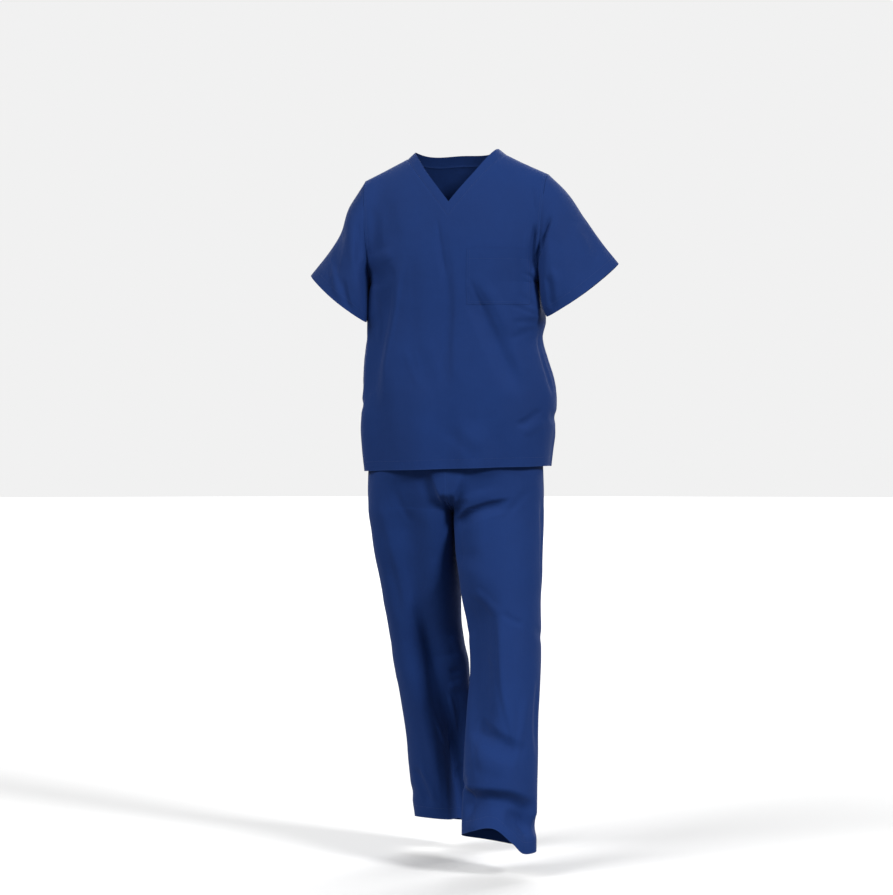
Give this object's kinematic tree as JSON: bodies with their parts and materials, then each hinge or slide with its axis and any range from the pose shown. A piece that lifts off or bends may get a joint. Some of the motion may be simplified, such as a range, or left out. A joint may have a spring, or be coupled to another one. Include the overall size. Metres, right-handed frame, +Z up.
{
  "type": "medical scrubs, v-neck scrub top and trousers",
  "caption": "Short-sleeved V-neck scrub top with a chest patch pocket, hanging over straight-legged trousers, both hollow as worn and held in an easy stride.",
  "frame": {"origin": "middle of the line between the two neck points, where the wearer's shoulders carry the top", "axes": "+Z up, the chest faces -Y, the wearer's left is +X"},
  "size_m": [0.7008, 0.4466, 1.5421],
  "materials": {
    "navy_cloth": "plain navy poly-cotton poplin, matt with a faint sheen"
  },
  "bodies": {
    "root": {"top_front": "navy_cloth", "top_back": "navy_cloth", "right_sleeve": "navy_cloth", "left_sleeve": "navy_cloth", "neckband": "navy_cloth", "chest_pocket": "navy_cloth", "trousers_right_front": "navy_cloth", "trousers_right_back": "navy_cloth", "trousers_left_front": "navy_cloth", "trousers_left_back": "navy_cloth", "waistband": "navy_cloth"}
  },
  "joints": []
}
